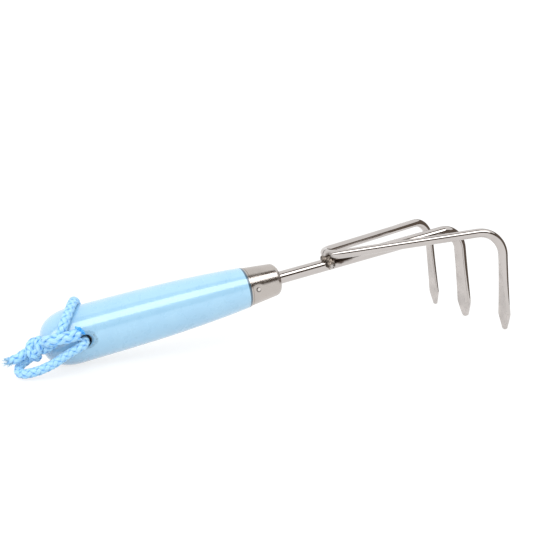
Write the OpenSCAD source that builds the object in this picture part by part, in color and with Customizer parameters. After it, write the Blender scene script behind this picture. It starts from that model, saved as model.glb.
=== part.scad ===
// Hand cultivator: a turned wooden handle, a steel ferrule with one brad, a thick rod
// that runs from its tang through to the centre tine, a thinner rod bent to a U and
// welded on top of it to make the two outer tines, and a braided hanging cord.
// The tool lies as it rests on a table: on its three tips and the heel of the handle.

/* [Handle] */
// Length of the painted part of the handle
handle_len = 119.9; // [112:0.1:126]
// Largest diameter of the handle
handle_d = 31.4; // [30:0.1:34]
// Length of the rounded rear end
rear_round = 19; // [15:0.5:20]
// Fullness of the rounded rear end: 2 is an ellipse, higher is blunter
rear_fullness = 2.3; // [2:0.05:2.6]
// Diameter of the handle's front rim, beside the ferrule
rim_d = 25.1; // [24.8:0.1:26]
// Share of the handle's length that keeps the full diameter
full_share = 0.35; // [0.3:0.05:0.45]
// Distance from the rear end to the cross hole
hole_at = 22.6; // [21:0.1:25]
// Diameter of the cross hole
hole_d = 6.6; // [6.4:0.1:7.2]
// Diameter of the worn countersink at each mouth of the cross hole
mouth_d = 8.6; // [8:0.1:9.5]

/* [Ferrule] */
// Length of the ferrule
ferrule_len = 21.6; // [19:0.1:23]
// Outer diameter at the ferrule's rim, on the handle
ferrule_rim_d = 24.2; // [23.6:0.1:24.6]
// Outer diameter at the ferrule's shoulder
ferrule_nose_d = 20.6; // [19.6:0.1:21]
// Radius of the ferrule's rounded shoulder
ferrule_round = 4; // [3:0.1:4.6]
// Thickness of the ferrule's sheet
sheet = 1; // [0.8:0.1:1.2]
// Distance from the ferrule's rim to the brad
brad_at = 4.5; // [4:0.5:8]
// Diameter of the brad's head
brad_head_d = 2; // [1.6:0.1:2.4]

/* [Rods] */
// Diameter of the rod that is tang, shank and centre tine
shank_d = 8; // [7.5:0.1:8.2]
// Distance from the handle's rear end to the centre tine's leg
centre_reach = 285; // [278:0.1:286]
// Bend radius of the centre tine, on the rod's centre line
centre_bend = 15; // [13:0.5:17]
// Diameter of the bent rod that makes the outer tines
outer_d = 5.8; // [5.6:0.1:6.2]
// Distance from the handle's rear end to the nose of the U
nose_at = 178.3; // [174:0.1:180]
// Radius of the U, on the rod's centre line
nose_radius = 9.5; // [8:0.5:11]
// Distance from the handle's rear end to the outer tines' legs
outer_reach = 287.9; // [284:0.1:290]
// Half the spread of the outer tines, on the centre lines
half_spread = 37.4; // [34:0.2:40]
// Bend radius of the outer tines, on the rod's centre line
outer_bend = 17.5; // [15:0.5:19]
// How far the arms of the U fall below its nose on the way to the tines
arm_fall = 5; // [3:0.5:6]
// How far the outer tines' tips reach below the handle's centre line
tip_drop = 67.7; // [64:0.1:70]
// How far the near tine's leg leans back towards the handle, at its tip
near_lean = 2.6; // [0:0.1:4]

/* [Tines] */
// Length of the outer tines' spear points
outer_point = 11; // [8:0.5:13]
// Length of the centre tine's spear point
centre_point = 12; // [10:0.5:14]
// Width of the outer tines at their shoulders
outer_wide = 9.2; // [8:0.1:9.8]
// Thickness of the outer tines at their shoulders
outer_thick = 2.8; // [2.2:0.1:3.2]
// Width of the centre tine at its shoulder
centre_wide = 10.8; // [8.4:0.1:11.2]
// Thickness of the centre tine at its shoulder
centre_thick = 5.2; // [4:0.1:5.6]

/* [Cord] */
// Diameter of the braided cord
cord_d = 5; // [4.6:0.1:5.2]

/* [Hidden] */
$fn = 48;
paint = "#9CCBEA";
satin_steel = "#A9A29C";
bright_steel = "#C9C6C3";
weld_steel = "#7A7470";
cord_blue = "#6FB7EA";

// Handle and ferrule profiles, as [distance from the rear end, radius]
handle_r = handle_d / 2;
rim_r = rim_d / 2;
taper_from = full_share * handle_len;
taper_power = 2.3;
rim_edge = 0.6;
function rear_point(a) = [rear_round * (1 - pow(cos(a), 2 / rear_fullness)),
                          handle_r * pow(sin(a), 2 / rear_fullness)];
function body_r(s) = handle_r - (handle_r - rim_r)
    * pow(max(0, (s - taper_from) / (handle_len - taper_from)), taper_power);
rear_curve = [for (a = [0:6:84]) rear_point(a)];
body_curve = [for (k = [0:1/24:1]) let (s = rear_round + k * (handle_len - rim_edge - rear_round))
    [s, body_r(s)]];
rim_curve = [for (a = [30:30:90]) [handle_len - rim_edge * (1 - sin(a)),
                                   body_r(handle_len) - rim_edge * (1 - cos(a))]];
handle_curve = concat(rear_curve, body_curve, rim_curve);

nose_x = handle_len + ferrule_len;
rim_out = ferrule_rim_d / 2;
nose_out = ferrule_nose_d / 2;
function ferrule_curve(inset) = concat(
    [[handle_len, rim_out - inset]],
    [for (a = [0:15:90]) [nose_x - ferrule_round + (ferrule_round - inset) * sin(a),
                          nose_out - ferrule_round + (ferrule_round - inset) * cos(a)]]);

// The tang narrows inside the handle and ends in a point
tang_d = 6;
tang_from = 67;
tang_point = 5;
tang_step = 119;
rod_r = shank_d / 2;
tang_curve = [[tang_from, 0], [tang_from + tang_point, tang_d / 2], [tang_step, tang_d / 2],
              [tang_step + 3, rod_r]];

brad_x = handle_len + brad_at;
brad_len = 7;
brad_d = 1.1;
brad_head = 0.7;
brad_seat = rim_out - (rim_out - nose_out) * brad_at / (ferrule_len - ferrule_round) - 0.35;

// The U of the outer rod lies in a plane that falls from its nose to the tines
outer_r = outer_d / 2;
nose_z = rod_r + outer_r + 0.1;
fall = atan(arm_fall / (outer_reach - nose_at));
ring_x = nose_at + nose_radius;
ring_z = nose_z - nose_radius * sin(fall);
// Each arm is the tangent to the U that passes over the leg
leg_span = norm([(outer_reach - ring_x) / cos(fall), half_spread]);
arm_angle = atan(half_spread * cos(fall) / (outer_reach - ring_x)) - asin(nose_radius / leg_span);
arm_heading = atan(tan(arm_angle) / cos(fall));
arm_pitch = asin(cos(arm_angle) * sin(fall));
arm_from = [ring_x - nose_radius * sin(arm_angle) * cos(fall), nose_radius * cos(arm_angle),
            ring_z + nose_radius * sin(arm_angle) * sin(fall)];
arm_len = sqrt(pow(leg_span, 2) - pow(nose_radius, 2))
    - outer_bend * (1 - sin(arm_pitch)) / cos(arm_pitch);
leg_top_z = arm_from.z - arm_len * sin(arm_pitch) - outer_bend * cos(arm_pitch);

// Share of a tine's thickness that is left at its very tip
tip_flat = 0.35;

// The tool tips forward until its tines and its heel touch the table together:
// the tilt is found by halving, from the drop of the heel and of the tips
function heel_drop(t) = max([for (p = handle_curve) p.y * cos(t) - p.x * sin(t)]);
function tips_drop(t) = tip_drop * cos(t) - (outer_reach - tip_flat * outer_thick / 2) * sin(t);
function find_tilt(lo, hi, n) = n == 0 ? (lo + hi) / 2
    : tips_drop((lo + hi) / 2) > heel_drop((lo + hi) / 2) ? find_tilt((lo + hi) / 2, hi, n - 1)
    : find_tilt(lo, (lo + hi) / 2, n - 1);
tilt = find_tilt(5, 20, 24);
axis_height = heel_drop(tilt);
rear_x = min([for (p = handle_curve) p.x * cos(tilt) - p.y * sin(tilt)]);
front_x = (outer_reach + tip_flat * outer_thick / 2) * cos(tilt) + tip_drop * sin(tilt);
centre_x = (rear_x + front_x) / 2;
centre_drop = tip_drop
    - (outer_reach - centre_reach - tip_flat * (outer_thick - centre_thick) / 2) * tan(tilt);

// Cord route: points in the tool's resting place, from the knot's upper side over the
// handle, through the cross hole from its far mouth, and back round to the knot
cord_r = cord_d / 2;
knot_at = [-149.9, -10.5, 14.3];
knot_size = [8.8, 11.4];
loop_route = [[-147, -11.6, 13], [-144.4, -14, 14.6], [-141.6, -16, 17.2], [-138.8, -16.6, 20.6],
    [-137.1, -16.2, 23.9], [-136, -14.8, 26.9], [-134.6, -12.2, 29.4], [-132.9, -8.6, 31.8],
    [-131.3, -4, 33.8], [-130, 1.5, 34.4], [-129, 7, 33.5], [-127.9, 12.5, 31], [-126.8, 17, 26.4],
    [-126.2, 19.5, 22.1], [-126, 19.1, 18.3], [-126, 16, 16.5], [-126, 8, 16.4], [-126, 0, 16.4],
    [-126, -8, 16.4], [-126.1, -16.2, 16.4], [-127.2, -19.6, 16.1], [-129.2, -21, 15.2],
    [-132, -20.8, 13.9], [-136.1, -20.5, 11.6], [-142.1, -20, 7.9], [-148.6, -19.5, 5.2],
    [-154.4, -17.8, 3.6], [-157.6, -14.8, 2.9], [-158.9, -11.5, 3.6], [-158.1, -9, 5.3],
    [-156, -8, 6.6], [-152.2, -8.8, 9.2]];
long_tail_route = [[-148.4, -13.4, 18], [-145, -18.4, 19.8], [-140.6, -21.6, 20.8],
    [-135.6, -21.4, 21.3], [-128.8, -20.2, 22.4]];
frayed_tail_route = [[-152.4, -12.2, 13.6], [-155.1, -12.8, 12], [-158.1, -12.4, 10.8],
    [-161.6, -11, 9.3], [-164.1, -10, 8.6]];
knot_ends = [[loop_route[0], loop_route[1]],
             [loop_route[len(loop_route) - 1], loop_route[len(loop_route) - 2]],
             [long_tail_route[0], long_tail_route[1]], [frayed_tail_route[0], frayed_tail_route[1]]];

// A smooth curve through the route's points, and the frame that is carried along it
function between(p, i, u) = let (a = p[max(i - 1, 0)], b = p[i], c = p[i + 1],
        d = p[min(i + 2, len(p) - 1)])
    0.5 * (2 * b + (c - a) * u + (2 * a - 5 * b + 4 * c - d) * u * u
           + (3 * b - a - 3 * c + d) * u * u * u);
function smooth(p, steps) = concat(
    [for (i = [0:len(p) - 2], k = [0:steps - 1]) between(p, i, k / steps)], [p[len(p) - 1]]);
function unit(v) = v / norm(v);
function heading(p, i) = unit(p[min(i + 1, len(p) - 1)] - p[max(i - 1, 0)]);
function across(p) = [for (i = 0, u = unit(cross(heading(p, 0), [0.3, 0.2, 1])); i < len(p);
    i = i + 1, u = i < len(p) ? unit(u - heading(p, i) * (heading(p, i) * u)) : u) u];
function cord_stations(route) = let (p = smooth(route, 3), u = across(p))
    [for (i = [0:len(p) - 1]) [p[i], u[i], cross(heading(p, i), u[i]), cord_r - 0.1, cord_r - 0.1, 1]];

// A solid through stations along a path. A station is its centre, two vectors across the path,
// the half size along each, and a squareness: 1 is an ellipse, lower is boxier.
module sweep(stations, n) {
    function power(v, e) = sign(v) * pow(abs(v), e);
    last = len(stations) - 1;
    points = [for (s = stations, j = [0:n - 1]) let (a = 360 * j / n)
        s[0] + s[1] * s[3] * power(cos(a), s[5]) + s[2] * s[4] * power(sin(a), s[5])];
    walls = [for (i = [0:last - 1], j = [0:n - 1]) let (k = (j + 1) % n)
        each [[i * n + j, (i + 1) * n + j, i * n + k], [i * n + k, (i + 1) * n + j, (i + 1) * n + k]]];
    ends = [[for (j = [0:n - 1]) j], [for (j = [n - 1:-1:0]) last * n + j]];
    polyhedron(points, concat(walls, ends), convexity = 8);
}

// A tine's forged end, hanging down from top: it flattens evenly from the round rod while it
// spreads faster and faster to its widest place, its shoulder, and then narrows to a spear
// point with a rounded end. A blade is its width and thickness there and its point's length.
function tine(top, rod, len, blade, tip, lean = 0) = let (shoulder = len - blade.z, wide = blade.x / 2,
        thick = blade.y / 2,
        rows = concat([for (k = [0:0.1:1]) k * shoulder],
            [for (k = [0.25:0.25:1]) shoulder + k * (blade.z - tip)], [len - 0.4 * tip, len]))
    [for (z = rows) [top - [lean * z / len, 0, z], [0, 1, 0], [1, 0, 0],
        z < shoulder ? rod + (wide - rod) * pow(z / shoulder, 2)
            : lookup(z, [[shoulder, wide], [len - tip, tip + 0.4], [len, 0.5 * tip]]),
        lookup(z, [[0, rod], [shoulder, thick], [len - tip, 0.55 * thick], [len, tip_flat * thick]]),
        lookup(z, [[0, 1], [shoulder, 0.5], [len, 0.7]])]];

// Puts a piece drawn along the tool's centre line where the resting tool has it
module resting() {
    translate([-centre_x, 0, axis_height]) rotate([0, -tilt, 0]) children();
}

// Turns [distance, radius] outlines into a solid about the tool's centre line
module lathe(outline) {
    rotate([0, 90, 0]) rotate_extrude() polygon([for (p = outline) [p.y, p.x]]);
}

module handle() color(paint) resting() difference() {
    lathe(concat(handle_curve, [[handle_len, rim_out - sheet]],
        [for (p = ferrule_curve(sheet)) if (p.x < nose_x - sheet - 1.5) p],
        [[nose_x - sheet - 1.5, nose_out - ferrule_round], [nose_x - sheet - 1.5, 0]]));
    lathe(concat(tang_curve, [[nose_x, rod_r], [nose_x, 0]]));
    translate([hole_at, 0, 0]) rotate([90, 0, 0])
        cylinder(d = hole_d, h = handle_d + 2, center = true);
    for (side = [-1, 1]) translate([hole_at, side * handle_r, 0]) rotate([-90 * side, 0, 0])
        translate([0, 0, -0.9]) cylinder(d1 = hole_d, d2 = mouth_d + 0.4, h = 1.1);
    translate([brad_x, 0, 0]) rotate([90, 0, 0]) cylinder(d = brad_d, h = brad_seat);
}

module ferrule() color(satin_steel) resting() difference() {
    lathe(concat(ferrule_curve(0), [[nose_x, rod_r], [nose_x - sheet, rod_r]],
        [for (i = [len(ferrule_curve(sheet)) - 1:-1:0]) ferrule_curve(sheet)[i]]));
    translate([brad_x, 0, 0]) rotate([90, 0, 0]) {
        cylinder(d = brad_d, h = rim_out + 1);
        translate([0, 0, brad_seat]) cylinder(d = brad_head_d, h = 1);
    }
}

module ferrule_brad() color(bright_steel) resting() translate([brad_x, 0, 0]) rotate([90, 0, 0]) {
    translate([0, 0, brad_seat - brad_len]) cylinder(d = brad_d, h = brad_len + brad_head / 2);
    translate([0, 0, brad_seat]) cylinder(d = brad_head_d, h = brad_head);
}

module shank_rod() color(bright_steel) resting() {
    bend_x = centre_reach - centre_bend;
    lathe(concat(tang_curve, [[bend_x, rod_r], [bend_x, 0]]));
    translate([bend_x, 0, -centre_bend]) rotate([90, 0, 0])
        rotate_extrude(angle = 90) translate([centre_bend, 0]) circle(rod_r);
    translate([centre_reach, 0, -centre_bend - 3]) cylinder(r = rod_r, h = 3);
    sweep(tine([centre_reach, 0, -centre_bend - 2], rod_r - 0.03, centre_drop - centre_bend - 2,
               [centre_wide, centre_thick, centre_point], 2.1), 24);
}

// Stations from the middle of the U to one tip: the U, the arm, the bend and the tine.
// A leaning tine is that much shorter that its tip still stands on the table.
function fallen(v) = [v.x * cos(fall) + v.z * sin(fall), v.y, v.z * cos(fall) - v.x * sin(fall)];
function outer_stations(lean) = let (ring = [ring_x, 0, ring_z], r = outer_r,
        arm_side = fallen([-sin(arm_angle), cos(arm_angle), 0]),
        leg = [outer_reach, half_spread, leg_top_z], flat_way = [cos(arm_heading), sin(arm_heading), 0])
    concat(
        [for (a = [180:-(90 - arm_angle) / 6:91 + arm_angle]) let (out = fallen([cos(a), sin(a), 0]))
            [ring + nose_radius * out, out, fallen([0, 0, 1]), r, r, 1]],
        [for (k = [0:0.25:0.75]) [arm_from + k * arm_len * fallen([cos(arm_angle), sin(arm_angle), 0]),
            arm_side, fallen([0, 0, 1]), r, r, 1]],
        [for (a = [arm_pitch:(90 - arm_pitch) / 8:90.1]) let (up = sin(a) * flat_way + [0, 0, cos(a)])
            [leg - outer_bend * flat_way + outer_bend * up, arm_side, up, r, r, 1]],
        tine(leg - [0, 0, 3], r, tip_drop - lean * tan(tilt) + leg_top_z - 3,
             [outer_wide, outer_thick, outer_point], 1.5, lean));
function mirrored(v) = [v.x, -v.y, v.z];

module outer_tine_rod() color(bright_steel) resting() {
    near = outer_stations(near_lean);
    sweep(concat([for (i = [len(near) - 1:-1:1]) let (s = near[i])
        [mirrored(s[0]), mirrored(s[1]), mirrored(s[2]), s[3], s[4], s[5]]], outer_stations(0)), 24);
}

// A weld bead: overlapping drops along the seam, cut back to the faces of the two rods
module weld_bead(drops) {
    difference() {
        for (d = drops) translate([nose_at + d[0], d[1], d[2]]) sphere(r = d[3]);
        rotate([0, 90, 0]) cylinder(r = rod_r, h = centre_reach);
        translate([ring_x, 0, ring_z]) rotate([0, fall, 0]) rotate([0, 0, 80])
            rotate_extrude(angle = 200) translate([nose_radius, 0]) circle(outer_r);
    }
}

module weld_bead_near() color(weld_steel) resting()
    weld_bead([[0.4, -2.6, 4.6, 2.3], [3, -4.4, 3.4, 2.4], [5, -4.8, 1, 2], [5.4, -4.2, -1.8, 1.6]]);

module weld_bead_far() color(weld_steel) resting()
    weld_bead([[0.4, 2.6, 4.6, 2.2], [3, 4.5, 3.3, 2.2], [4.6, 4.9, 1.2, 1.6]]);

module cord_loop() color(cord_blue) sweep(cord_stations(loop_route), 10);

// The knot's outer shape, with a seat for each of the four strands that leave it
module cord_knot() color(cord_blue) difference() {
    translate(knot_at) rotate_extrude()
        polygon([for (a = [-90:10:90]) [knot_size.x / 2 * cos(a), knot_size.y / 2 * sin(a)]]);
    for (end = knot_ends) let (way = unit(end[1] - end[0])) translate(end[0])
        rotate([0, acos(way.z), atan2(way.y, way.x)]) cylinder(d = cord_d, h = knot_size.y);
}

module cord_tail_long() color(cord_blue) sweep(cord_stations(long_tail_route), 10);

module cord_tail_frayed() color(cord_blue) sweep(cord_stations(frayed_tail_route), 10);

handle();
ferrule();
ferrule_brad();
shank_rod();
outer_tine_rod();
weld_bead_near();
weld_bead_far();
cord_loop();
cord_knot();
cord_tail_long();
cord_tail_frayed();
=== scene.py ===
"""Looks of the hand cultivator: painted handle, satin ferrule, plated rods and braided cord.

Lengths in the tables are millimetres in the tool's own frame or in the row frame, as they
are in the part's source; everything that reaches Blender is in metres.
"""
import math
import random

import bpy
import numpy as np
from mathutils import Matrix, Vector, noise


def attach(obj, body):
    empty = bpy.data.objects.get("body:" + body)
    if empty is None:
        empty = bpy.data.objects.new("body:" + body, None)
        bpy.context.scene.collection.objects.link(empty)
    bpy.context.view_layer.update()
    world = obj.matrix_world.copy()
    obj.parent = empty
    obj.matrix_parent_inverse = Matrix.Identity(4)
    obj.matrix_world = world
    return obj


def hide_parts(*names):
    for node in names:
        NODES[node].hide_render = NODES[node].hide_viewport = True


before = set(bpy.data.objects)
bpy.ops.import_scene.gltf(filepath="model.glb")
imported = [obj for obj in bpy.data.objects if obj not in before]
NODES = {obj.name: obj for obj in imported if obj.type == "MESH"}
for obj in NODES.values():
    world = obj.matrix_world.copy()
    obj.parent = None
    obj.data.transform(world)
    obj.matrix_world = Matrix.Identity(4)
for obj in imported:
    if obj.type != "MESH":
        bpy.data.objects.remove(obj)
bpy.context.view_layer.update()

MM = 0.001
ROOT = "root"
X, Y, Z = (1, 0, 0), (0, 1, 0), (0, 0, 1)

# The part's resting place, as the part's source works it out: how far the tool's axis leans,
# and how high and how far back its origin is, the middle of the handle's rear end
TILT = math.radians(10.8327)
AXIS_HEIGHT = 12.477
CENTRE_X = 147.788

# ---------------------------------------------------------------- small helpers


def resting(p):
    """A point of the tool's own frame, in mm, as a point of the row frame, in metres."""
    x, y, z = p
    return np.array([x * math.cos(TILT) - z * math.sin(TILT) - CENTRE_X, y,
                     AXIS_HEIGHT + x * math.sin(TILT) + z * math.cos(TILT)]) * MM


def turned(v):
    """A direction of the tool's own frame in the row frame."""
    x, y, z = v
    return np.array([x * math.cos(TILT) - z * math.sin(TILT), y,
                     x * math.sin(TILT) + z * math.cos(TILT)])


def unit(v):
    """The direction of one vector."""
    v = np.asarray(v, float)
    return v / np.linalg.norm(v)


def units(rows):
    """The direction of each row of vectors."""
    return rows / np.linalg.norm(rows, axis=1)[:, None]


def eased(value, low, high):
    """0 below low, 1 above high, and a smooth rise between them."""
    t = np.clip((np.asarray(value, float) - low) / (high - low), 0, 1)
    return t * t * (3 - 2 * t)


def new_mesh(name, verts, faces, material, sharp_from=None):
    """A smooth-shaded piece, with sharp edges where faces meet at over sharp_from degrees."""
    mesh = bpy.data.meshes.new(name)
    mesh.from_pydata([tuple(v) for v in verts], [], faces)
    mesh.validate()
    for polygon in mesh.polygons:
        polygon.use_smooth = True
    if sharp_from:
        mesh.set_sharp_from_angle(angle=math.radians(sharp_from))
    mesh.materials.append(material)
    piece = bpy.data.objects.new(name, mesh)
    bpy.context.scene.collection.objects.link(piece)
    return piece


def skin(rings):
    """Vertices and faces of a tube with closed ends, through rings of equal size."""
    n = len(rings[0])
    verts = [v for ring in rings for v in ring]
    faces = [(i * n + j, i * n + (j + 1) % n, (i + 1) * n + (j + 1) % n, (i + 1) * n + j)
             for i in range(len(rings) - 1) for j in range(n)]
    faces.append(tuple(range(n - 1, -1, -1)))
    faces.append(tuple((len(rings) - 1) * n + j for j in range(n)))
    return verts, faces


# ---------------------------------------------------------------- materials


class Shader:
    """A Principled material and short calls for the nodes that feed it."""

    def __init__(self, name, **values):
        self.mat = bpy.data.materials.new(name)
        self.mat.use_nodes = True
        self.tree = self.mat.node_tree
        self.bsdf = self.tree.nodes["Principled BSDF"]
        for key, value in values.items():
            self.bsdf.inputs[key.replace("_", " ")].default_value = value

    def node(self, kind, **settings):
        made = self.tree.nodes.new("ShaderNode" + kind)
        for key, value in settings.items():
            setattr(made, key, value)
        return made

    def link(self, source, socket):
        self.tree.links.new(source, socket)

    def set(self, socket, value):
        """Links another node's output to the socket, or gives it a plain value."""
        if hasattr(value, "links"):
            self.link(value, socket)
        else:
            socket.default_value = value

    def place(self):
        """The point on the surface, in metres."""
        return self.node("TexCoord").outputs["Object"]

    def math(self, operation, a, b=0.0):
        made = self.node("Math", operation=operation)
        self.set(made.inputs[0], a)
        self.set(made.inputs[1], b)
        return made.outputs[0]

    def times(self, a, b):
        return self.math("MULTIPLY", a, b)

    def length(self, a, b):
        """The length of the vector whose two parts are a and b."""
        return self.math("SQRT", self.math("ADD", self.times(a, a), self.times(b, b)))

    def vector_math(self, operation, a, b, output):
        made = self.node("VectorMath", operation=operation)
        self.set(made.inputs[0], a)
        self.set(made.inputs[1], b)
        return made.outputs[output]

    def dot(self, a, b):
        return self.vector_math("DOT_PRODUCT", a, b, "Value")

    def distance(self, a, b):
        return self.vector_math("DISTANCE", a, b, "Value")

    def offset(self, a, b):
        """The vector from b to a."""
        return self.vector_math("SUBTRACT", a, b, "Vector")

    def noise(self, vector, scale, detail, roughness=0.5):
        made = self.node("TexNoise")
        self.link(vector, made.inputs["Vector"])
        made.inputs["Scale"].default_value = scale
        made.inputs["Detail"].default_value = detail
        made.inputs["Roughness"].default_value = roughness
        return made.outputs["Fac"]

    def step(self, value, low, high, out_low=0.0, out_high=1.0):
        """out_low below low, out_high above high, and a smooth change between them."""
        made = self.node("MapRange", interpolation_type="SMOOTHSTEP")
        self.link(value, made.inputs["Value"])
        for key, number in (("From Min", low), ("From Max", high), ("To Min", out_low),
                            ("To Max", out_high)):
            made.inputs[key].default_value = number
        return made.outputs["Result"]

    def within(self, value, low, high):
        """1 below low, 0 above high, and a smooth fall between them."""
        return self.step(value, low, high, 1.0, 0.0)

    def mix(self, factor, a, b):
        made = self.node("Mix", data_type="RGBA")
        self.set(made.inputs["Factor"], factor)
        self.set(made.inputs["A"], a)
        self.set(made.inputs["B"], b)
        return made.outputs["Result"]

    def colour(self, value):
        self.link(value, self.bsdf.inputs["Base Color"])

    def rough(self, value):
        self.link(value, self.bsdf.inputs["Roughness"])

    def bump(self, height, distance, strength):
        """Adds a bump, on top of the bumps that the material has already."""
        made = self.node("Bump")
        made.inputs["Distance"].default_value = distance
        made.inputs["Strength"].default_value = strength
        self.link(height, made.inputs["Height"])
        if self.bsdf.inputs["Normal"].links:
            self.link(self.bsdf.inputs["Normal"].links[0].from_socket, made.inputs["Normal"])
        self.link(made.outputs["Normal"], self.bsdf.inputs["Normal"])


# Where the marks are: the tool's axis, the cross hole, the worn patch round it, the ferrule's
# rim, the brad's head, and beside the weld the nose of the U, the crevice behind it and the
# weld's lower end
AXIS = tuple(turned((1, 0, 0)))
HOLE = tuple(resting((22.6, 0, 0)))
WORN = tuple(resting((23.8, 0, 0.3)))
RIM = tuple(resting((119.9, 0, 0)))
SEAT = tuple(resting((124.2, -12, -0.2)))
NOSE_LOW = tuple(resting((178.6, -4.2, 5.2)))
CREVICE = tuple(resting((186.0, -5.2, 3.0)))
DROP = tuple(resting((177.7, -6.6, -0.8)))


def painted_wood():
    """Light blue semi-gloss paint, chipped round the cross hole, with a few small specks, and
    painted shade inside the hole.
    """
    light, lighter = (0.33, 0.60, 0.82, 1), (0.356, 0.63, 0.84, 1)
    rubbed, chipped = (0.24, 0.46, 0.64, 1), (0.10, 0.17, 0.19, 1)
    # near black painted shade for the inside of the cross hole
    bore_painted_shade = (0.03, 0.026, 0.02, 1)
    grey_green, seam_shade = (0.22, 0.36, 0.40, 1), (0.02, 0.06, 0.10, 1)

    s = Shader("painted_wood", Roughness=0.3, Coat_Weight=0.9, Coat_Roughness=0.09, Coat_IOR=1.7)
    place = s.place()

    def from_cross_line(middle):
        """Distance from the line along Y through middle."""
        gap = s.offset(place, middle)
        return s.length(s.dot(gap, X), s.dot(gap, Z))

    paint = s.mix(s.step(s.noise(place, 60, 3), 0.35, 0.65), light, lighter)
    # a few of the cells have a speck in their middle
    cells = s.node("TexVoronoi", feature="F1", distance="EUCLIDEAN")
    cells.inputs["Scale"].default_value = 55
    s.link(place, cells.inputs["Vector"])
    speck = s.within(cells.outputs["Distance"], 0.035, 0.075)
    chosen = s.step(s.dot(cells.outputs["Color"], X), 0.72, 0.74)
    paint = s.mix(s.times(s.times(speck, chosen), 0.55), paint, grey_green)
    # a dark line where the paint meets the ferrule
    from_rim = s.math("ABSOLUTE", s.dot(s.offset(place, RIM), AXIS))
    seam = s.within(from_rim, 1.2 * MM, 1.8 * MM)
    paint = s.mix(s.times(seam, 0.92), paint, seam_shade)
    # the worn patch has a ragged edge, and inside the hole the bore is painted near black, as shade
    ragged = s.times(s.math("SUBTRACT", s.noise(place, 600, 4), 0.5), 2.4 * MM)
    worn = s.within(s.math("ADD", from_cross_line(WORN), ragged), 4.5 * MM, 5.5 * MM)
    patch = s.mix(s.step(s.noise(place, 1300, 3), 0.57, 0.70), rubbed, chipped)
    inside = s.within(from_cross_line(HOLE), 3.15 * MM, 3.5 * MM)
    s.colour(s.mix(worn, paint, s.mix(inside, patch, bore_painted_shade)))

    uneven = s.step(s.noise(place, 200, 4), 0.3, 0.7, 0.24, 0.36)
    s.rough(s.math("ADD", s.times(worn, 0.4), uneven))
    s.bump(s.noise(place, 260, 3), 0.05 * MM, 0.35)
    s.bump(s.times(worn, s.noise(place, 1800, 3)), 0.25 * MM, 0.6)
    return s.mat


def brad_marks(s, place, tone):
    """On the ferrule: painted shade round the brad's head, the sheet drawn in a little where the
    brad was driven, and a line of painted shade along the rim."""
    seat_shade, line_shade = (0.05, 0.04, 0.035, 1), (0.16, 0.13, 0.11, 1)
    gap = s.offset(place, SEAT)
    from_brad = s.length(s.dot(gap, AXIS), s.dot(gap, Z))
    near_side = s.within(s.dot(place, Y), -6 * MM, -4 * MM)
    # a ring of painted shade round the brad's head, on the near side only
    seat = s.times(s.within(from_brad, 1.2 * MM, 1.8 * MM), near_side)
    tone = s.mix(s.times(seat, 0.8), tone, seat_shade)
    # a line of painted shade along the rim
    past_rim = s.dot(s.offset(place, RIM), AXIS)
    line = s.times(s.step(past_rim, 0.75 * MM, 0.95 * MM),
                   s.within(past_rim, 1.15 * MM, 1.35 * MM))
    tone = s.mix(s.times(line, 0.55), tone, line_shade)
    s.bump(s.step(from_brad, 0.8 * MM, 4.6 * MM), 0.28 * MM, 1.0)
    return tone


def heat_tint_and_painted_shade(s, place, tone):
    """On the rods: dark brown marks round the nose of the U, partly heat tint and partly painted
    shade, and painted shade along the crevice between its arm and the shank, stretched along the
    tool's axis."""
    brown = (0.05, 0.03, 0.02, 1)
    wander = s.times(s.math("SUBTRACT", s.noise(place, 300, 4), 0.5), 3 * MM)
    # the nose's mark is partly heat tint and partly painted shade; the crevice's is painted shade
    for middle, stretch, core, edge in ((NOSE_LOW, 1.0, 2.2, 4.6), (CREVICE, 3.0, 2.8, 4.8)):
        gap = s.offset(place, middle)
        along = s.dot(gap, AXIS)
        shorter = s.times(s.times(along, along), 1 - 1 / stretch ** 2)
        reach = s.math("SQRT", s.math("SUBTRACT", s.dot(gap, gap), shorter))
        mark = s.step(s.math("ADD", reach, wander), core * MM, edge * MM, 0.95, 0.0)
        tone = s.mix(mark, tone, brown)
    return tone


def weld_drop(s, place, tone):
    """On the weld: its smooth pale lower end."""
    pale = (0.50, 0.47, 0.45, 1)
    return s.mix(s.within(s.distance(place, DROP), 1.5 * MM, 2.4 * MM), tone, pale)


def steel(name, colour, roughness, grain=0.0, dirt=0.0, mottle=0.06, patches=90, marks=None):
    """Warm grey plated steel. mottle is how far its tone varies, over patches of that noise
    scale, dirt how strong its dark pits are, and grain the depth of fine lines that run round
    the tool. marks adds a piece's own marks to the tone."""
    pit_shade = (0.06, 0.05, 0.045, 1)
    s = Shader(name, Metallic=1.0)
    place = s.place()
    light = tuple(min(1, c * (1 + mottle)) for c in colour) + (1,)
    dark = tuple(c * (1 - mottle) for c in colour) + (1,)
    tone = s.mix(s.step(s.noise(place, patches, 4), 0.3, 0.7), dark, light)
    if dirt:
        pits = s.step(s.noise(place, 900, 5, 0.6), 0.52, 0.68)
        tone = s.mix(s.times(pits, dirt), tone, pit_shade)
    if marks:
        tone = marks(s, place, tone)
    s.colour(tone)
    s.rough(s.step(s.noise(place, 350, 4), 0.25, 0.75, roughness * 0.8, roughness * 1.3))
    if grain:
        lines = s.node("CombineXYZ")
        s.link(s.times(s.dot(place, AXIS), 9000.0), lines.inputs[0])
        s.link(s.times(s.dot(place, Y), 240.0), lines.inputs[1])
        s.bump(s.noise(lines.outputs[0], 1.0, 3), grain, 0.5)
    s.bump(s.noise(place, 500, 3), 0.012 * MM, 0.5)
    return s.mat


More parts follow.
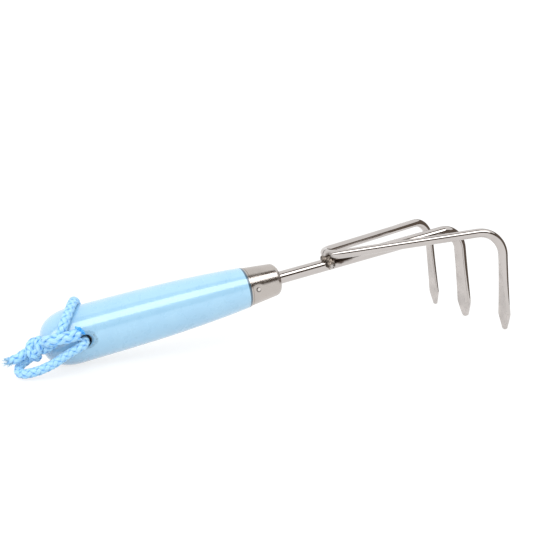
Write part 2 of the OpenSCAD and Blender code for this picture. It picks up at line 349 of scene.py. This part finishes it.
def braid_yarn(name, light, painted_shade_blue):
    """Shiny plastic yarn: fine filaments along each strand, with painted shade where it dips under
    and at its edges, and painted light on its crown.
    """
    worn_pale = (0.66, 0.89, 1.0, 1)
    s = Shader(name, Roughness=0.42, Sheen_Weight=0.25, Sheen_Roughness=0.4)
    threads = s.node("TexWave", wave_type="BANDS", bands_direction="X", wave_profile="SIN")
    s.link(s.node("UVMap", uv_map="strand").outputs["UV"], threads.inputs["Vector"])
    for key, value in (("Scale", 2.2), ("Distortion", 1.6), ("Detail", 2.0), ("Detail Scale", 1.5)):
        threads.inputs[key].default_value = value
    filament = threads.outputs["Fac"]
    height = s.node("Attribute", attribute_name="height").outputs["Fac"]
    # the tone attribute picks painted shade where it is low and painted light where it is high
    tone = s.mix(s.step(height, 0.2, 0.78), painted_shade_blue, light)
    worn = s.step(s.noise(s.place(), 260, 3), 0.4, 0.75, 0.05, 0.45)
    s.colour(s.mix(s.times(filament, worn), tone, worn_pale))
    s.rough(s.step(filament, 0, 1, 0.36, 0.52))
    s.bump(filament, 0.10 * MM, 0.6)
    return s.mat


def melted_plastic(name, colour, pale):
    """Plastic cord melted to a glossy lump, pale in patches."""
    s = Shader(name, Roughness=0.22)
    place = s.place()
    s.colour(s.mix(s.step(s.noise(place, 900, 3), 0.4, 0.7), colour, pale))
    s.rough(s.step(s.noise(place, 500, 3), 0.3, 0.7, 0.16, 0.34))
    s.bump(s.noise(place, 1500, 3), 0.08 * MM, 0.5)
    return s.mat


PAINT = painted_wood()
FERRULE_STEEL = steel("ferrule_steel", (0.50, 0.46, 0.43), 0.21, grain=0.001 * MM, mottle=0.03,
                      marks=brad_marks)
BRAD_STEEL = steel("brad_steel", (0.66, 0.62, 0.59), 0.12)
ROD_STEEL = steel("rod_steel", (0.55, 0.515, 0.495), 0.06, mottle=0.03, marks=heat_tint_and_painted_shade)
FLAT_STEEL = steel("rod_steel_ground", (0.555, 0.52, 0.50), 0.34, dirt=0.22, mottle=0.1)
WELD_STEEL = steel("weld_steel", (0.24, 0.205, 0.175), 0.12, dirt=0.85, mottle=0.7, patches=330,
                   marks=weld_drop)
YARN = braid_yarn("cord_blue", (0.365, 0.695, 0.96, 1), (0.045, 0.33, 0.90, 1))
MELTED = melted_plastic("cord_melted", (0.02, 0.31, 0.86, 1), (0.19, 0.60, 0.97, 1))

# ---------------------------------------------------------------- handle, ferrule and brad

for node, material in (("handle", PAINT), ("ferrule", FERRULE_STEEL), ("ferrule_brad", BRAD_STEEL)):
    for slot in NODES[node].material_slots:
        slot.material = material

# ---------------------------------------------------------------- rods

SHANK_R, OUTER_R = 4.0, 2.9
TANG_R, TANG_FROM, TANG_POINT, TANG_STEP = 3.0, 67.0, 5.0, 119.0
CENTRE_REACH, CENTRE_BEND, CENTRE_DROP = 285.0, 15.0, 67.0647
NOSE_AT, NOSE_R, OUTER_REACH, HALF_SPREAD = 178.3, 9.5, 287.9, 37.4
OUTER_BEND, ARM_FALL, TIP_DROP = 17.5, 5.0, 67.7
WELD_GAP = 0.1
# width and thickness at the shoulder, and the length of the point
OUTER_BLADE, CENTRE_BLADE = (9.2, 2.8, 11.0), (10.8, 5.2, 12.0)
# the tip's radius, how much wider than that radius the point ends, and the part of its
# thickness that it keeps there
OUTER_TIP, CENTRE_TIP, TIP_EXTRA, TIP_FLAT = 1.5, 2.1, 0.4, 0.35
NEAR_LEAN = 2.6
FLAT_STEPS, ARC_STEPS, TURN_RINGS = 7, 17, 8
SIDE, TOOL_UP = np.array([0, 1, 0]), np.array([0, 0, 1.0])
# how straight at the handle a ground face looks, and how high above the table the flats and
# the spear points reach
FACES_HANDLE, FLATS_BELOW, POINTS_BELOW = 0.985, 48, 11.5


def section(centre, side, face, r_side, r_face, half):
    """One ring of a rod: an ellipse whose two faces are cut flat at half along face."""
    cut = min(half / r_face, 0.9998)
    edge = math.asin(cut)
    flat = r_side * math.cos(edge)
    ring = []
    for sign in (1, -1):
        # the rounded side from the flat at -face to the flat at +face, and back round
        for k in range(ARC_STEPS):
            a = -edge + 2 * edge * k / (ARC_STEPS - 1)
            ring.append((sign * r_side * math.cos(a), sign * r_face * math.sin(a)))
        for k in range(1, FLAT_STEPS + 1):
            across = flat * (1 - 2 * k / (FLAT_STEPS + 1))
            ring.append((sign * across, sign * r_face * cut))
    return [centre + side * u + face * v for u, v in ring]


def round_section(centre, side, up, r):
    return section(centre, side, up, r, r, r)


def blade_profile(z, length, rod, blade, tip):
    """Half width, half thickness at z down a forged tine, with a rounded spear end."""
    wide, thick, point = blade[0] / 2, blade[1] / 2, blade[2]
    shoulder = length - point
    if z <= shoulder:
        k = z / shoulder
        return rod + (wide - rod) * k ** 2, rod + (thick - rod) * k
    down = z - shoulder
    k = down / point
    taper = wide + (tip + TIP_EXTRA - wide) * min(1, down / (point - tip))
    left = length - z
    if left < tip:
        # a quarter round, stopped just before it closes to nothing
        taper = (tip + TIP_EXTRA) * math.sqrt(max(0.02, 1 - (1 - left / tip) ** 2))
    return taper, thick * (1 - (1 - TIP_FLAT) * k)


def tine_rings(top, length, rod, blade, tip, lean=0.0):
    """Rings of a tine in the tool's frame, from its top to its tip."""
    face = np.array([1.0, 0, 0])
    stops = list(np.linspace(0, length - blade[2], 40)) \
        + list(np.linspace(length - blade[2], length - tip, 12)[1:]) \
        + [length - tip * (1 - math.sin(a)) for a in np.radians([20, 40, 55, 68, 80, 90])]
    rings = []
    for z in stops:
        r_side, half = blade_profile(z, length, rod, blade, tip)
        middle = np.array(top) - [lean * z / length, 0, z]
        rings.append(section(middle, SIDE, face, r_side, rod, half))
    return rings


def turn_ring(ring, angle):
    """The ring turned round the upright line through its middle."""
    middle = np.mean(ring, axis=0)
    c, s = math.cos(angle), math.sin(angle)
    out = []
    for p in ring:
        d = p - middle
        out.append(middle + np.array([d[0] * c - d[1] * s, d[0] * s + d[1] * c, d[2]]))
    return out


def shank_rings():
    """Tang, shank, bend and centre tine, drawn along the tool's own centre line."""
    bend_from = CENTRE_REACH - CENTRE_BEND
    stops = [(TANG_FROM, 0.05), (TANG_FROM + TANG_POINT, TANG_R), (TANG_STEP, TANG_R),
             (TANG_STEP + 3, SHANK_R)]
    stops += [(x, SHANK_R) for x in np.linspace(TANG_STEP + 4, bend_from, 60)]
    rings = [round_section(np.array([x, 0, 0]), SIDE, TOOL_UP, r) for x, r in stops]
    hub = np.array([bend_from, 0, -CENTRE_BEND])
    for a in np.radians(np.linspace(0, 90, 28)[1:]):
        up = np.array([math.sin(a), 0, math.cos(a)])
        rings.append(round_section(hub + CENTRE_BEND * up, SIDE, up, SHANK_R))
    tine = tine_rings([CENTRE_REACH, 0, -CENTRE_BEND], CENTRE_DROP - CENTRE_BEND, SHANK_R,
                      CENTRE_BLADE, CENTRE_TIP)
    return rings + tine[1:]


def outer_halves():
    """Two halves of the outer rod, each from the nose of the U along its arm to the tip: the
    far one, and the near one, drawn on the far side too."""
    fall = math.atan(ARM_FALL / (OUTER_REACH - NOSE_AT))
    ring_x = NOSE_AT + NOSE_R
    ring_z = SHANK_R + OUTER_R + WELD_GAP - NOSE_R * math.sin(fall)
    ahead = (OUTER_REACH - ring_x) / math.cos(fall)
    span = math.hypot(ahead, HALF_SPREAD)
    angle = math.atan(HALF_SPREAD / ahead) - math.asin(NOSE_R / span)
    heading = math.atan(math.tan(angle) / math.cos(fall))
    pitch = math.asin(math.cos(angle) * math.sin(fall))

    def fallen(x, y, z):
        """A direction of the plane of the U, which falls towards the tines."""
        return np.array([x * math.cos(fall) + z * math.sin(fall), y,
                         z * math.cos(fall) - x * math.sin(fall)])

    centre = np.array([ring_x, 0, ring_z])
    lift = fallen(0, 0, 1)
    arm_way = fallen(math.cos(angle), math.sin(angle), 0)
    arm_side = fallen(-math.sin(angle), math.cos(angle), 0)
    arm_from = centre + NOSE_R * arm_side
    arm_len = math.sqrt(span ** 2 - NOSE_R ** 2) \
        - OUTER_BEND * (1 - math.sin(pitch)) / math.cos(pitch)
    rings = []
    for a in np.linspace(math.pi, math.pi / 2 + angle, 26)[:-1]:
        out = fallen(math.cos(a), math.sin(a), 0)
        rings.append(round_section(centre + NOSE_R * out, out, lift, OUTER_R))
    for k in np.linspace(0, 1, 40)[:-1]:
        rings.append(round_section(arm_from + k * arm_len * arm_way, arm_side, lift, OUTER_R))
    leg_top = arm_from[2] - arm_len * math.sin(pitch) - OUTER_BEND * math.cos(pitch)
    leg = np.array([OUTER_REACH, HALF_SPREAD, leg_top])
    flat_way = np.array([math.cos(heading), math.sin(heading), 0])
    for a in np.linspace(pitch, math.pi / 2, 28):
        up = math.sin(a) * flat_way + np.array([0, 0, math.cos(a)])
        at = leg - OUTER_BEND * flat_way + OUTER_BEND * up
        rings.append(round_section(at, arm_side, up, OUTER_R))
    # the tine's flats face the handle, so the section turns to it over the first rings
    halves = []
    for lean in (0.0, NEAR_LEAN):
        length = TIP_DROP - lean * math.tan(TILT) + leg_top
        tine = tine_rings(leg, length, OUTER_R, OUTER_BLADE, OUTER_TIP, lean)
        for k, ring in enumerate(tine):
            ease = min(1, k / TURN_RINGS)
            tine[k] = turn_ring(ring, heading * (1 - ease * ease * (3 - 2 * ease)))
        halves.append(rings + tine[1:])
    return halves


def outer_rings():
    """The outer rod from the near tip round the nose to the far tip."""
    far, near = outer_halves()
    n = len(far[0])
    last = 2 * ARC_STEPS + FLAT_STEPS - 1
    rings = []
    for ring in near[1:][::-1]:
        # mirrored, with its points in the mirrored order
        flipped = [np.array([p[0], -p[1], p[2]]) for p in ring]
        rings.append([flipped[(last - j) % n] for j in range(n)])
    return rings + far


def rod(name, rings):
    """A plated rod, with the ground material on its flat faces and its spear points."""
    verts, faces = skin(rings)
    piece = new_mesh(name, [resting(v) for v in verts], faces, ROD_STEEL, 16)
    piece.data.materials.append(FLAT_STEEL)
    for polygon in piece.data.polygons:
        height = polygon.center.z
        flat = abs(polygon.normal @ Vector(AXIS)) > FACES_HANDLE
        if height < POINTS_BELOW * MM or (flat and height < FLATS_BELOW * MM):
            polygon.material_index = 1
    return piece


shank = rod("shank_and_centre_tine", shank_rings())
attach(shank, ROOT)
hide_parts("shank_rod")

outer = rod("outer_tines", outer_rings())
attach(outer, ROOT)
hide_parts("outer_tine_rod")

# ---------------------------------------------------------------- weld metal

MELT_VOXEL, FLOW_PASSES = 0.28, 4
# Overlapping drops of each weld, as place and radius, in the tool's frame from the nose of the U
NEAR_DROPS = [(-3.4, -1.6, 4.9, 1.4), (-2.4, -3.0, 4.4, 1.6), (-1.2, -4.2, 4.6, 1.9),
              (-0.2, -5.2, 3.4, 1.9), (-0.9, -5.0, 1.6, 2.0), (-0.8, -5.0, -0.3, 2.1),
              (0.8, -5.0, 1.6, 1.5), (1.0, -4.8, -0.6, 1.4), (-0.2, -4.8, 5.6, 1.5),
              (0.6, -3.4, 2.7, 2.2)]
FAR_DROPS = [(-2.0, 1.2, 4.6, 1.8), (-1.2, 2.9, 4.2, 2.0), (0.4, 4.1, 3.5, 2.1),
             (2.2, 4.7, 3.2, 2.0), (3.6, 4.8, 1.8, 1.7), (1.8, 3.4, 2.8, 2.0)]


def lump(name, drops, roughen, seed, material):
    """Overlapping drops, as place and radius in mm where the tool rests, melted into one lump
    whose skin is uneven by about roughen mm."""
    parts = []
    for x, y, z, r in drops:
        bpy.ops.mesh.primitive_ico_sphere_add(subdivisions=3, radius=r * MM,
                                              location=(x * MM, y * MM, z * MM))
        parts.append(bpy.context.object)
    bpy.ops.object.select_all(action="DESELECT")
    for part in parts:
        part.select_set(True)
    bpy.context.view_layer.objects.active = parts[0]
    bpy.ops.object.join()
    piece = bpy.context.object
    piece.name = piece.data.name = name
    bpy.ops.object.transform_apply(location=True, rotation=True, scale=True)
    remesh = piece.modifiers.new("melt", "REMESH")
    remesh.mode, remesh.voxel_size = "VOXEL", MELT_VOXEL * MM
    bpy.ops.object.modifier_apply(modifier="melt")
    smooth = piece.modifiers.new("flow", "SMOOTH")
    smooth.factor, smooth.iterations = 0.5, FLOW_PASSES
    bpy.ops.object.modifier_apply(modifier="flow")
    for v in piece.data.vertices:
        coarse = noise.noise(Vector(v.co) * 620 + Vector((seed, 0, 0)))
        fine = noise.noise(Vector(v.co) * 1500 + Vector((0, seed, 0)))
        v.co += v.normal * (coarse + 0.5 * fine) * roughen * MM
    for polygon in piece.data.polygons:
        polygon.use_smooth = True
    piece.data.materials.clear()
    piece.data.materials.append(material)
    return piece


for name, node, drops, seed in (("weld_near", "weld_bead_near", NEAR_DROPS, 3),
                                ("weld_far", "weld_bead_far", FAR_DROPS, 11)):
    at_rest = [(*resting((NOSE_AT + x, y, z)) / MM, r) for x, y, z, r in drops]
    bead = lump(name, at_rest, 0.8, seed, WELD_STEEL)
    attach(bead, ROOT)
    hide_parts(node)

# ---------------------------------------------------------------- the cord's route

# The middle of the cord, where the tool rests, as in the part's source
LOOP_ROUTE = [(-147, -11.6, 13), (-144.4, -14, 14.6), (-141.6, -16, 17.2), (-138.8, -16.6, 20.6),
              (-137.1, -16.2, 23.9), (-136, -14.8, 26.9), (-134.6, -12.2, 29.4),
              (-132.9, -8.6, 31.8), (-131.3, -4, 33.8), (-130, 1.5, 34.4), (-129, 7, 33.5),
              (-127.9, 12.5, 31), (-126.8, 17, 26.4), (-126.2, 19.5, 22.1), (-126, 19.1, 18.3),
              (-126, 16, 16.5), (-126, 8, 16.4), (-126, 0, 16.4), (-126, -8, 16.4),
              (-126.1, -16.2, 16.4), (-127.2, -19.6, 16.1), (-129.2, -21, 15.2),
              (-132, -20.8, 13.9), (-136.1, -20.5, 11.6), (-142.1, -20, 7.9),
              (-148.6, -19.5, 5.2), (-154.4, -17.8, 3.6), (-157.6, -14.8, 2.9),
              (-158.9, -11.5, 3.6), (-158.1, -9, 5.3), (-156, -8, 6.6), (-152.2, -8.8, 9.2)]
LONG_TAIL = [(-148.4, -13.4, 18), (-145, -18.4, 19.8), (-140.6, -21.6, 20.8),
             (-135.6, -21.4, 21.3), (-128.8, -20.2, 22.4)]
FRAYED_TAIL = [(-152.4, -12.2, 13.6), (-155.1, -12.8, 12), (-158.1, -12.4, 10.8),
               (-161.6, -11, 9.3), (-164.1, -10, 8.6)]
KNOT_AT = np.array([-149.9, -10.5, 14.3])
BORE_X = -126.0
MOUTH = np.array((-127.0, -19.2, 16.2))
# The side that the knot's front faces, and the knot's right and up as seen from there
NEAR = unit((-0.41, -0.90, 0.14))
RIGHT = unit(np.cross(NEAR, (0, 0, -1)))
LIFT = np.cross(NEAR, RIGHT)
# The two strands inside the knot, as (right, up, near) offsets from its middle: the long
# tail's runs behind, round the left lobe and down across the front, and the other one wraps
# over the right side
KNOT_FRONT = [(5.6, 2.9, 1.8), (3.0, 2.5, 0.0), (0.2, 3.1, -0.6), (-1.9, 3.2, -0.2),
              (-2.7, 1.2, 1.4), (-2.1, -1.2, 2.7), (-0.7, -3.4, 2.8), (0.8, -4.7, 1.0),
              (0.2, -5.0, -1.2)]
KNOT_BACK = [(1.4, -0.8, -2.4), (0.4, 2.0, -2.4), (0.9, 4.2, -0.8), (2.0, 4.0, 1.4),
             (2.7, 1.7, 3.0), (2.2, -1.0, 3.0), (0.8, -2.4, 1.4), (-0.9, -1.6, 0.3),
             (-3.0, -1.8, 0.8), (-5.4, -2.4, 2.6)]
# how far apart the points of the finished line are, and over how many of them it is smoothed
STEP, SMOOTH_OVER, SMOOTH_REACH = 0.22, 5.0, 10


def in_knot(points):
    return [KNOT_AT + r * RIGHT + u * LIFT + c * NEAR for r, u, c in points]


def run_along(line):
    """The length of the line up to each of its points."""
    return np.concatenate([[0], np.cumsum(np.linalg.norm(np.diff(line, axis=0), axis=1))])


def spline(points):
    """Points every STEP along a smooth curve through the given ones."""
    p = np.array(points, float)
    p = np.vstack([2 * p[0] - p[1], p, 2 * p[-1] - p[-2]])
    dense = []
    for i in range(1, len(p) - 2):
        a, b, c, d = p[i - 1], p[i], p[i + 1], p[i + 2]
        for u in np.linspace(0, 1, 40, endpoint=False):
            dense.append(0.5 * (2 * b + (c - a) * u + (2 * a - 5 * b + 4 * c - d) * u * u
                                + (3 * b - a - 3 * c + d) * u ** 3))
    dense.append(p[-2])
    dense = np.array(dense)
    run = run_along(dense)
    at = np.linspace(0, run[-1], int(round(run[-1] / STEP)) + 1)
    return np.stack([np.interp(at, run, dense[:, k]) for k in range(3)], axis=1)


def smoothed(line):
    """The line with its small wobbles averaged out and its ends held."""
    weights = np.exp(-0.5 * (np.arange(-SMOOTH_REACH, SMOOTH_REACH + 1) / SMOOTH_OVER) ** 2)
    weights = weights / weights.sum()
    held = np.vstack([np.repeat(line[:1], SMOOTH_REACH, axis=0), line,
                      np.repeat(line[-1:], SMOOTH_REACH, axis=0)])
    return np.stack([np.convolve(held[:, k], weights, "valid") for k in range(3)], axis=1)


def carried_frames(line):
    """Tangent and two vectors across it, carried along the line without twist."""
    tangent = units(np.gradient(line, axis=0))
    u = np.cross(tangent[0], (0.3, 0.2, 1))
    across = []
    for t in tangent:
        u = unit(u - t * (u @ t))
        across.append(u)
    across = np.array(across)
    return tangent, across, np.cross(tangent, across)


# The cord from the melted end of its long tail to its frayed end; inside the knot, the knot's
# own points take the place of the tails' first ones
centre = smoothed(spline(LONG_TAIL[:0:-1] + in_knot(KNOT_FRONT) + LOOP_ROUTE[::-1]
                         + in_knot(KNOT_BACK) + FRAYED_TAIL[2:]))
run = run_along(centre)
tangent, across, up = carried_frames(centre)

# ---------------------------------------------------------------- the cord's braid

# yarns that wind each way, and the length of one turn, in the cord and in its long tail
STRANDS, PITCH, LOOSE_PITCH = 4, 17.6, 25.0
# how far out the yarns lie, how much they weave in and out, and their width and thickness
LAY_R, WEAVE, YARN_W, YARN_T = 1.62, 0.30, 2.55, 1.25
# the tone of loose fibres, and how much paler a yarn is painted on its outer side than at its
# edges, as light on its crown and shade at its edges
FIBRE_TONE, CROWN_PAINTED_LIGHT = 1.3, 0.46
END_FIBRES, WORN_FIBRES = 16, 40

from_knot = np.linalg.norm(centre - KNOT_AT, axis=1)
in_bore = (1 - eased(np.abs(centre[:, 1]), 13, 18)) * (np.abs(centre[:, 0] - BORE_X) < 0.8)
over_handle = eased(centre[:, 2], 18, 24) * eased(run, 32, 40)
loose = 1 - eased(run, 17, 23)                            # the long tail
at_melt = eased(-run, -9, -2)
at_fray = eased(run, run[-1] - 5.0, run[-1])
# thinner where it is squeezed in the knot and the bore, and thicker where it is loose, lies
# pressed on the handle, or opens at the frayed end
squeeze = 0.95 + 0.05 * eased(from_knot, 5.0, 8.0)
size = squeeze * (1 - 0.06 * in_bore) * (1 + 0.04 * loose) * (1 + 0.04 * over_handle) \
    * (1 + 0.10 * at_fray)
pitch = PITCH + (LOOSE_PITCH - PITCH) * loose
spin = 2 * math.pi * np.concatenate([[0], np.cumsum(np.diff(run) / pitch[1:])])
# the long tail is flattened: wider along broad, most of all at its melted end, and thinner
# from front to back
broad = units(np.cross(tangent, NEAR))
widen = 0.20 * loose + 0.16 * at_melt

strand_verts, strand_faces, strand_uv, strand_tone_and_shade = [], [], [], []
random.seed(7)


def tube(line, wide, out, half_wide, half_thick, height, sides=8):
    """Adds one yarn or fibre: an oval tube along line, with its sizes and tone at each point."""
    first = len(strand_verts)
    for i in range(len(line)):
        for j in range(sides):
            a = 2 * math.pi * j / sides
            p = line[i] + wide[i] * half_wide[i] * math.cos(a) \
                + out[i] * half_thick[i] * math.sin(a)
            strand_verts.append(p * MM)
            # painted light on the yarn's crown and painted shade at its edges
            strand_tone_and_shade.append(height[i] + CROWN_PAINTED_LIGHT * math.sin(a) ** 2)
    # along the strand, the UV is in centimetres
    lengths = run_along(line) / 10
    for i in range(len(line) - 1):
        for j in range(sides):
            j2 = (j + 1) % sides
            strand_faces.append((first + i * sides + j, first + i * sides + j2,
                                 first + (i + 1) * sides + j2, first + (i + 1) * sides + j))
            strand_uv.append([(j / sides, lengths[i]), ((j + 1) / sides, lengths[i]),
                              ((j + 1) / sides, lengths[i + 1]), (j / sides, lengths[i + 1])])
    for ring in (range(sides - 1, -1, -1), range((len(line) - 1) * sides, len(line) * sides)):
        strand_faces.append(tuple(first + j for j in ring))
        strand_uv.append([(0, 0)] * sides)


def fibre(start, way, length, radius, curl):
    """A loose fibre that leaves start along way and curls."""
    way = unit(way)
    side = unit(np.cross(way, (0.3, 0.5, 0.8)))
    other = np.cross(way, side)
    bend = curl * (side * math.cos(random.uniform(0, 6.3))
                   + other * math.sin(random.uniform(0, 6.3)))
    k = np.linspace(0, 1, 9)[:, None]
    line = start + way * length * k + bend * length * k * k
    thin = radius * (1 - 0.6 * k[:, 0])
    ones = np.ones((9, 1))
    tube(line, ones * side, ones * other, thin, thin, np.full(9, FIBRE_TONE), 5)


def yarn(way, k):
    """Yarn k of those that wind one way: it passes over and under the others, and ends at the
    frayed end in loose fibres."""
    stop = len(run) - random.randint(0, 12)
    turn = way * spin + 2 * math.pi * k / STRANDS
    over = way * np.cos(STRANDS * spin)
    radius = (LAY_R + WEAVE * over) * size
    out = np.cos(turn)[:, None] * across + np.sin(turn)[:, None] * up
    offset = radius[:, None] * out
    offset += widen[:, None] * np.sum(offset * broad, axis=1)[:, None] * broad
    offset -= (0.16 * loose)[:, None] * np.sum(offset * NEAR, axis=1)[:, None] * NEAR
    line = centre + offset
    go = units(np.gradient(line, axis=0))
    out = units(out - go * np.sum(out * go, axis=1)[:, None])
    wide = np.cross(go, out)
    # the yarn thins out over its last few points
    fade = np.minimum(1, 0.3 + 0.7 * np.maximum(0, stop - 1 - np.arange(len(run))) / 14)
    girth = size * fade * (1 + 0.12 * loose)
    # the yarn's tone is painted darker where it dips under the others, as shade
    tube(line[:stop], wide, out, YARN_W / 2 * girth, YARN_T / 2 * girth, 0.30 + 0.16 * over)
    for _ in range(END_FIBRES):
        fibre(line[stop - 2] + wide[stop - 2] * random.uniform(-0.8, 0.8),
              tangent[stop - 1] + 0.55 * np.array([random.uniform(-1, 1) for _ in range(3)]),
              random.uniform(1.2, 3.2), random.uniform(0.10, 0.22), 0.3)


def core():
    """The core inside the braid, which shows at the frayed end."""
    radius = 1.1 * size * (0.35 + 0.65 * eased(run, 0, 3))
    # painted dark, as shade in the gaps between the yarns, and paler over its last few mm at the
    # frayed end
    tone = 0.2 + 0.6 * eased(run, run[-1] - 4.0, run[-1] - 1.0)
    tube(centre, across, up, radius, radius, tone, 10)


def worn_fibres():
    """Pale fibres that have worn loose where the cord bends into the cross hole."""
    mouth = int(np.argmin(np.linalg.norm(centre - MOUTH, axis=1)))
    for _ in range(WORN_FIBRES):
        i = mouth + random.randint(-12, 16)
        lean = NEAR * random.uniform(0.2, 0.9) + broad[i] * random.uniform(-1, 1)
        fibre(centre[i] + 2.25 * unit(lean), tangent[i] * random.choice((-1, 1)) + 0.35 * lean,
              random.uniform(1.5, 3.5), random.uniform(0.10, 0.20), 0.25)


for way in (1, -1):
    for k in range(STRANDS):
        yarn(way, k)
core()
worn_fibres()

cord = new_mesh("braided_cord", strand_verts, strand_faces, YARN)
layer = cord.data.uv_layers.new(name="strand")
layer.data.foreach_set("uv", [c for face in strand_uv for uv in face for c in uv])
tall = cord.data.attributes.new("height", "FLOAT", "POINT")
tall.data.foreach_set("value", strand_tone_and_shade)
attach(cord, ROOT)
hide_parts("cord_loop", "cord_knot", "cord_tail_long", "cord_tail_frayed")


def melted_tip():
    """The long tail's end, melted into a small glossy lump of a deeper blue."""
    on = -tangent[0]
    side = broad[0] if broad[0][2] > 0 else -broad[0]
    blobs = [(on * 0.2 + side * 2.9, 1.0), (on * 1.2 + side * 2.3, 1.1),
             (on * 1.9 + side * 1.2, 1.0), (on * 2.5 + side * 0.1, 0.9),
             (-on * 0.4 + side * 3.7, 0.6), (on * 3.0 - side * 0.8, 0.6),
             (on * 0.3 + side * 1.6, 1.0), (on * 1.1 + side * 0.5, 1.0)]
    drops = [(*(centre[0] + 0.6 * NEAR + p), r) for p, r in blobs]
    return lump("melted_tip", drops, 0.4, 5, MELTED)


tip_piece = melted_tip()
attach(tip_piece, ROOT)

# ---------------------------------------------------------------- studio

scene = bpy.context.scene
scene.view_settings.view_transform = "Standard"
scene.view_settings.look = "None"

world = bpy.data.worlds.new("studio")
world.use_nodes = True
world.node_tree.nodes["Background"].inputs["Color"].default_value = (1, 1, 1, 1)
world.node_tree.nodes["Background"].inputs["Strength"].default_value = 1.05
scene.world = world

WHITE, WARM, BROWN = (1, 1, 1, 1), (1, 0.8, 0.66, 1), (1, 0.72, 0.5, 1)
# the middle and radius, in metres, of the sphere that the bands are parts of
BANDS_ROUND, BANDS_R = Vector((0, 0, 0.05)), 1.6


def paper(name, albedo, glow):
    """Matt white studio paper that gives back albedo of its light and glow of its own."""
    mat = bpy.data.materials.new(name)
    mat.use_nodes = True
    surface = mat.node_tree.nodes["Principled BSDF"]
    for key, value in (("Base Color", (albedo, albedo, albedo, 1)), ("Roughness", 0.9),
                       ("Specular IOR Level", 0.1), ("Emission Color", WHITE),
                       ("Emission Strength", glow)):
        surface.inputs[key].default_value = value
    return mat


def lit_card(name, colour, strength):
    """A card that only glows."""
    mat = bpy.data.materials.new(name)
    mat.use_nodes = True
    tree = mat.node_tree
    tree.nodes.clear()
    glow = tree.nodes.new("ShaderNodeEmission")
    glow.inputs["Color"].default_value = colour
    glow.inputs["Strength"].default_value = strength
    out = tree.nodes.new("ShaderNodeOutputMaterial")
    tree.links.new(glow.outputs[0], out.inputs["Surface"])
    return mat


def reflected_only(piece):
    """A studio card that shows in gloss and nowhere else."""
    for flag in ("visible_camera", "visible_diffuse", "visible_transmission",
                 "visible_volume_scatter", "visible_shadow"):
        setattr(piece, flag, False)


def band(name, low, high, left, right, colour, strength):
    """A card on a big sphere: low to high are degrees up from the front, over the top to the
    back; left and right are degrees towards -X and +X."""
    ups, outs = np.radians(np.linspace(low, high, 9)), np.radians(np.linspace(left, right, 25))
    verts = [BANDS_ROUND + BANDS_R * Vector((math.sin(b), -math.cos(b) * math.cos(a),
                                             math.cos(b) * math.sin(a)))
             for a in ups for b in outs]
    n = len(outs)
    faces = [(i * n + j, i * n + j + 1, (i + 1) * n + j + 1, (i + 1) * n + j)
             for i in range(len(ups) - 1) for j in range(n - 1)]
    reflected_only(new_mesh(name, verts, faces, lit_card(name, colour, strength)))


band("softbox_front", 37, 65, -75, 37, WHITE, 3.4)
band("camera_gap", 9, 37, -80, 80, BROWN, 0.08)
band("top_gap", 65, 84, -80, 37, BROWN, 0.10)
band("right_gap", 37, 46, 37, 80, BROWN, 0.08)

# an upright card beyond the tines
card_x, card_front, card_back, card_top = 0.28, -0.22, 0.30, 0.17
reflected_only(new_mesh(
    "card_right", [(card_x, card_front, 0), (card_x, card_back, 0),
                   (card_x, card_back, card_top), (card_x, card_front, card_top)],
    [(0, 1, 2, 3)], lit_card("card_right", WARM, 0.17)))


def ground(name, z, material, hidden_from):
    """A wide plane of paper under the object."""
    bpy.ops.mesh.primitive_plane_add(size=60, location=(0, 0, z))
    plane = bpy.context.object
    plane.name = name
    plane.data.materials.append(material)
    for kind in hidden_from:
        setattr(plane, "visible_" + kind, False)


# the paper that shows gives most of its light itself, so the shadow on it is faint; the light
# that the object gets from below comes from plain paper just under it
ground("floor", 0, paper("floor_paper", 0.26, 0.77), ("diffuse", "shadow"))
ground("floor_bounce", -0.0002, paper("floor_bounce", 0.74, 0.0),
       ("camera", "glossy", "transmission"))

key_data = bpy.data.lights.new("key", "AREA")
key_data.shape, key_data.size, key_data.energy = "SQUARE", 1.2, 7.0
key = bpy.data.objects.new("key", key_data)
key.location = (-0.45, -0.75, 1.25)
key.rotation_mode = "QUATERNION"
key.rotation_quaternion = (Vector((0, 0, 0.03)) - key.location).to_track_quat("-Z", "Y")
key.visible_glossy = False
scene.collection.objects.link(key)

# ---------------------------------------------------------------- camera

SENSOR, LENS = 36.0, 37.8236
YAW, PITCH_DOWN, ROLL = math.radians(22.87), math.radians(10.25), math.radians(0.45)
# from the point of the table under the tool's own origin
CAMERA_FROM_END = (-0.49, -313.72, 108.72)

camera_data = bpy.data.cameras.new("camera")
camera_data.sensor_width = SENSOR
camera_data.lens = LENS
camera_data.clip_start, camera_data.clip_end = 0.01, 20
camera = bpy.data.objects.new("camera", camera_data)
camera.location = (Vector(CAMERA_FROM_END) - Vector((CENTRE_X, 0, 0))) * MM
look = Vector((math.sin(YAW) * math.cos(PITCH_DOWN), math.cos(YAW) * math.cos(PITCH_DOWN),
               -math.sin(PITCH_DOWN)))
level = Vector((math.cos(YAW), -math.sin(YAW), 0))
top = level.cross(look)
right = math.cos(ROLL) * level + math.sin(ROLL) * top
top = right.cross(look)
camera.rotation_mode = "QUATERNION"
camera.rotation_quaternion = Matrix((right, top, -look)).transposed().to_quaternion()
scene.collection.objects.link(camera)
scene.camera = camera
